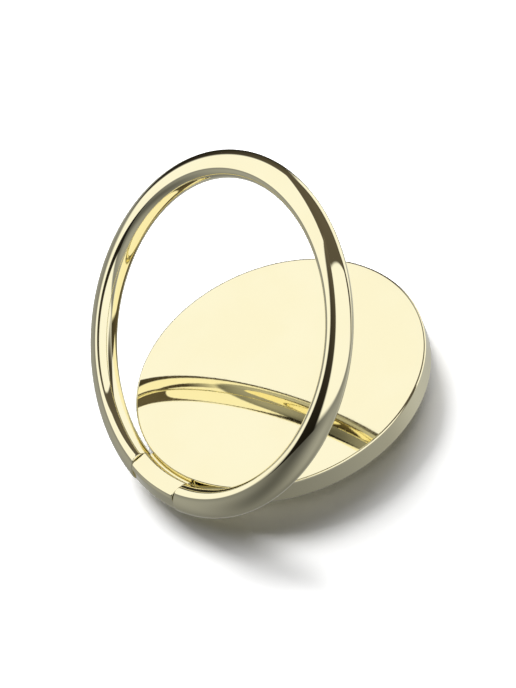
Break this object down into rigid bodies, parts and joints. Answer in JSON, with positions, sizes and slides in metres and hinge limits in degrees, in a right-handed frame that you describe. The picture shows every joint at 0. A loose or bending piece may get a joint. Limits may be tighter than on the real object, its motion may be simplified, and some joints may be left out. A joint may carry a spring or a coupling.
{
  "type": "phone ring holder",
  "caption": "Polished disc that sticks to the back of a phone and swivels, with a round finger ring hinged at its rim as a grip and stand.",
  "frame": {"origin": "centre of the adhesive face that lies on the phone", "axes": "+Z out of the phone's back, the hinge axis parallel to Y on the -X side of the disc"},
  "size_m": [0.0365, 0.0402, 0.0283],
  "materials": {
    "plated_metal": "polished",
    "steel": "satin",
    "foam_tape": "matte"
  },
  "bodies": {
    "base": {"adhesive_pad": "foam_tape", "base_plate": "steel", "spring_washer": "steel"},
    "disc": {"disc_body": "plated_metal", "retaining_washer": "steel", "hinge_sleeve": "steel"},
    "ring": {"finger_ring": "plated_metal", "hinge_pin": "steel"}
  },
  "joints": [
    {"name": "swivel", "type": "hinge", "parent": "base", "child": "disc", "pos_m": [0, 0, 0], "axis": [0, 0, 1], "continuous": true},
    {"name": "ring_hinge", "type": "hinge", "parent": "disc", "child": "ring", "pos_m": [-0.01825, 0, 0.0019], "axis": [0, -1, 0], "range_deg": [-43, 137]}
  ]
}
